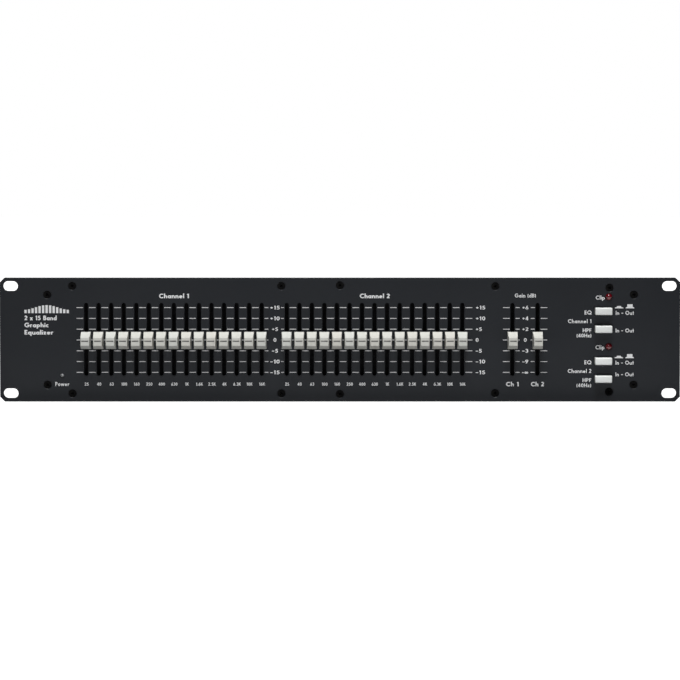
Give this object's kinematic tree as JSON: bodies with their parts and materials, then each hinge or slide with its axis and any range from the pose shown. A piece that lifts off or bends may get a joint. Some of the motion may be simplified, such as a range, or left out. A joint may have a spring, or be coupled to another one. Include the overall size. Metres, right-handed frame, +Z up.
{
  "type": "rack-mount graphic equalizer",
  "caption": "Two-channel graphic equalizer for a 19 inch rack, two units high, with a row of slider caps per channel, gain sliders and push buttons.",
  "frame": {"origin": "middle of the front panel's rear face, where the rack rails touch it", "axes": "+X to the right seen from the front, +Y to the back, +Z up"},
  "size_m": [0.4826, 0.1674, 0.0882],
  "materials": {
    "panel_black": "satin black, brushed under the finish",
    "case_black": "fine textured black powder coat",
    "board_green": "solder-masked glass-fibre board",
    "plated_steel": "plated sheet",
    "switch_grey": "moulded",
    "lens_clear": "water-clear moulded lens",
    "lens_red": "red tinted moulded lens",
    "capacitor_sleeve": "shrink sleeve",
    "chip_black": "moulded",
    "bare_aluminium": "extruded",
    "transformer_tape": "polyester tape over the winding",
    "socket_black": "glass-filled moulding",
    "socket_nickel": "satin nickel-plated die casting",
    "wire_grey": "PVC insulation",
    "spacer_brass": "nickel over brass",
    "screw_black": "black zinc",
    "cap_cream": "fine moulded satin",
    "button_cream": "moulded satin",
    "rocker_black": "moulded"
  },
  "bodies": {
    "chassis": {"front_panel": "panel_black", "chassis_tray": "case_black", "top_cover": "case_black", "rear_panel": "case_black", "slider_board": "board_green", "slide_pots": "plated_steel", "push_switches": "switch_grey", "power_led": "lens_clear", "clip_leds": "lens_red", "main_board": "board_green", "filter_capacitors": "capacitor_sleeve", "amplifier_chips": "chip_black", "heat_sink": "bare_aluminium", "power_transformer": "transformer_tape", "power_inlet": "socket_black", "power_switch_frame": "socket_black", "input_sockets": "socket_nickel", "output_sockets": "socket_nickel", "phone_jacks": "socket_black", "wiring": "wire_grey", "board_spacers": "spacer_brass", "panel_screws": "screw_black", "case_screws": "screw_black"},
    "slider_ch1_01": {"slider_ch1_01": "cap_cream"},
    "slider_ch1_02": {"slider_ch1_02": "cap_cream"},
    "slider_ch1_03": {"slider_ch1_03": "cap_cream"},
    "slider_ch1_04": {"slider_ch1_04": "cap_cream"},
    "slider_ch1_05": {"slider_ch1_05": "cap_cream"},
    "slider_ch1_06": {"slider_ch1_06": "cap_cream"},
    "slider_ch1_07": {"slider_ch1_07": "cap_cream"},
    "slider_ch1_08": {"slider_ch1_08": "cap_cream"},
    "slider_ch1_09": {"slider_ch1_09": "cap_cream"},
    "slider_ch1_10": {"slider_ch1_10": "cap_cream"},
    "slider_ch1_11": {"slider_ch1_11": "cap_cream"},
    "slider_ch1_12": {"slider_ch1_12": "cap_cream"},
    "slider_ch1_13": {"slider_ch1_13": "cap_cream"},
    "slider_ch1_14": {"slider_ch1_14": "cap_cream"},
    "slider_ch1_15": {"slider_ch1_15": "cap_cream"},
    "slider_ch2_01": {"slider_ch2_01": "cap_cream"},
    "slider_ch2_02": {"slider_ch2_02": "cap_cream"},
    "slider_ch2_03": {"slider_ch2_03": "cap_cream"},
    "slider_ch2_04": {"slider_ch2_04": "cap_cream"},
    "slider_ch2_05": {"slider_ch2_05": "cap_cream"},
    "slider_ch2_06": {"slider_ch2_06": "cap_cream"},
    "slider_ch2_07": {"slider_ch2_07": "cap_cream"},
    "slider_ch2_08": {"slider_ch2_08": "cap_cream"},
    "slider_ch2_09": {"slider_ch2_09": "cap_cream"},
    "slider_ch2_10": {"slider_ch2_10": "cap_cream"},
    "slider_ch2_11": {"slider_ch2_11": "cap_cream"},
    "slider_ch2_12": {"slider_ch2_12": "cap_cream"},
    "slider_ch2_13": {"slider_ch2_13": "cap_cream"},
    "slider_ch2_14": {"slider_ch2_14": "cap_cream"},
    "slider_ch2_15": {"slider_ch2_15": "cap_cream"},
    "slider_gain_1": {"slider_gain_1": "cap_cream"},
    "slider_gain_2": {"slider_gain_2": "cap_cream"},
    "button_eq_1": {"button_eq_1": "button_cream"},
    "button_hpf_1": {"button_hpf_1": "button_cream"},
    "button_eq_2": {"button_eq_2": "button_cream"},
    "button_hpf_2": {"button_hpf_2": "button_cream"},
    "power_rocker": {"power_rocker": "rocker_black"}
  },
  "joints": [
    {"name": "slider_ch1_01_slide", "type": "slide", "parent": "chassis", "child": "slider_ch1_01", "axis": [0, 0, 1], "range_m": [-0.0225, 0.0225]},
    {"name": "slider_ch1_02_slide", "type": "slide", "parent": "chassis", "child": "slider_ch1_02", "axis": [0, 0, 1], "range_m": [-0.0225, 0.0225]},
    {"name": "slider_ch1_03_slide", "type": "slide", "parent": "chassis", "child": "slider_ch1_03", "axis": [0, 0, 1], "range_m": [-0.0225, 0.0225]},
    {"name": "slider_ch1_04_slide", "type": "slide", "parent": "chassis", "child": "slider_ch1_04", "axis": [0, 0, 1], "range_m": [-0.0225, 0.0225]},
    {"name": "slider_ch1_05_slide", "type": "slide", "parent": "chassis", "child": "slider_ch1_05", "axis": [0, 0, 1], "range_m": [-0.0225, 0.0225]},
    {"name": "slider_ch1_06_slide", "type": "slide", "parent": "chassis", "child": "slider_ch1_06", "axis": [0, 0, 1], "range_m": [-0.0225, 0.0225]},
    {"name": "slider_ch1_07_slide", "type": "slide", "parent": "chassis", "child": "slider_ch1_07", "axis": [0, 0, 1], "range_m": [-0.0225, 0.0225]},
    {"name": "slider_ch1_08_slide", "type": "slide", "parent": "chassis", "child": "slider_ch1_08", "axis": [0, 0, 1], "range_m": [-0.0225, 0.0225]},
    {"name": "slider_ch1_09_slide", "type": "slide", "parent": "chassis", "child": "slider_ch1_09", "axis": [0, 0, 1], "range_m": [-0.0225, 0.0225]},
    {"name": "slider_ch1_10_slide", "type": "slide", "parent": "chassis", "child": "slider_ch1_10", "axis": [0, 0, 1], "range_m": [-0.0225, 0.0225]},
    {"name": "slider_ch1_11_slide", "type": "slide", "parent": "chassis", "child": "slider_ch1_11", "axis": [0, 0, 1], "range_m": [-0.0225, 0.0225]},
    {"name": "slider_ch1_12_slide", "type": "slide", "parent": "chassis", "child": "slider_ch1_12", "axis": [0, 0, 1], "range_m": [-0.0225, 0.0225]},
    {"name": "slider_ch1_13_slide", "type": "slide", "parent": "chassis", "child": "slider_ch1_13", "axis": [0, 0, 1], "range_m": [-0.0225, 0.0225]},
    {"name": "slider_ch1_14_slide", "type": "slide", "parent": "chassis", "child": "slider_ch1_14", "axis": [0, 0, 1], "range_m": [-0.0225, 0.0225]},
    {"name": "slider_ch1_15_slide", "type": "slide", "parent": "chassis", "child": "slider_ch1_15", "axis": [0, 0, 1], "range_m": [-0.0225, 0.0225]},
    {"name": "slider_ch2_01_slide", "type": "slide", "parent": "chassis", "child": "slider_ch2_01", "axis": [0, 0, 1], "range_m": [-0.0225, 0.0225]},
    {"name": "slider_ch2_02_slide", "type": "slide", "parent": "chassis", "child": "slider_ch2_02", "axis": [0, 0, 1], "range_m": [-0.0225, 0.0225]},
    {"name": "slider_ch2_03_slide", "type": "slide", "parent": "chassis", "child": "slider_ch2_03", "axis": [0, 0, 1], "range_m": [-0.0225, 0.0225]},
    {"name": "slider_ch2_04_slide", "type": "slide", "parent": "chassis", "child": "slider_ch2_04", "axis": [0, 0, 1], "range_m": [-0.0225, 0.0225]},
    {"name": "slider_ch2_05_slide", "type": "slide", "parent": "chassis", "child": "slider_ch2_05", "axis": [0, 0, 1], "range_m": [-0.0225, 0.0225]},
    {"name": "slider_ch2_06_slide", "type": "slide", "parent": "chassis", "child": "slider_ch2_06", "axis": [0, 0, 1], "range_m": [-0.0225, 0.0225]},
    {"name": "slider_ch2_07_slide", "type": "slide", "parent": "chassis", "child": "slider_ch2_07", "axis": [0, 0, 1], "range_m": [-0.0225, 0.0225]},
    {"name": "slider_ch2_08_slide", "type": "slide", "parent": "chassis", "child": "slider_ch2_08", "axis": [0, 0, 1], "range_m": [-0.0225, 0.0225]},
    {"name": "slider_ch2_09_slide", "type": "slide", "parent": "chassis", "child": "slider_ch2_09", "axis": [0, 0, 1], "range_m": [-0.0225, 0.0225]},
    {"name": "slider_ch2_10_slide", "type": "slide", "parent": "chassis", "child": "slider_ch2_10", "axis": [0, 0, 1], "range_m": [-0.0225, 0.0225]},
    {"name": "slider_ch2_11_slide", "type": "slide", "parent": "chassis", "child": "slider_ch2_11", "axis": [0, 0, 1], "range_m": [-0.0225, 0.0225]},
    {"name": "slider_ch2_12_slide", "type": "slide", "parent": "chassis", "child": "slider_ch2_12", "axis": [0, 0, 1], "range_m": [-0.0225, 0.0225]},
    {"name": "slider_ch2_13_slide", "type": "slide", "parent": "chassis", "child": "slider_ch2_13", "axis": [0, 0, 1], "range_m": [-0.0225, 0.0225]},
    {"name": "slider_ch2_14_slide", "type": "slide", "parent": "chassis", "child": "slider_ch2_14", "axis": [0, 0, 1], "range_m": [-0.0225, 0.0225]},
    {"name": "slider_ch2_15_slide", "type": "slide", "parent": "chassis", "child": "slider_ch2_15", "axis": [0, 0, 1], "range_m": [-0.0225, 0.0225]},
    {"name": "slider_gain_1_slide", "type": "slide", "parent": "chassis", "child": "slider_gain_1", "axis": [0, 0, 1], "range_m": [-0.0225, 0.0225]},
    {"name": "slider_gain_2_slide", "type": "slide", "parent": "chassis", "child": "slider_gain_2", "axis": [0, 0, 1], "range_m": [-0.0225, 0.0225]},
    {"name": "button_eq_1_press", "type": "slide", "parent": "chassis", "child": "button_eq_1", "axis": [0, 1, 0], "range_m": [0, 0.003], "stiffness_N_per_m": 400},
    {"name": "button_hpf_1_press", "type": "slide", "parent": "chassis", "child": "button_hpf_1", "axis": [0, 1, 0], "range_m": [0, 0.003], "stiffness_N_per_m": 400},
    {"name": "button_eq_2_press", "type": "slide", "parent": "chassis", "child": "button_eq_2", "axis": [0, 1, 0], "range_m": [0, 0.003], "stiffness_N_per_m": 400},
    {"name": "button_hpf_2_press", "type": "slide", "parent": "chassis", "child": "button_hpf_2", "axis": [0, 1, 0], "range_m": [0, 0.003], "stiffness_N_per_m": 400},
    {"name": "power_rocker_tip", "type": "hinge", "parent": "chassis", "child": "power_rocker", "pos_m": [-0.112, 0.1494, 0.002], "axis": [1, 0, 0], "range_deg": [0, 18]}
  ]
}
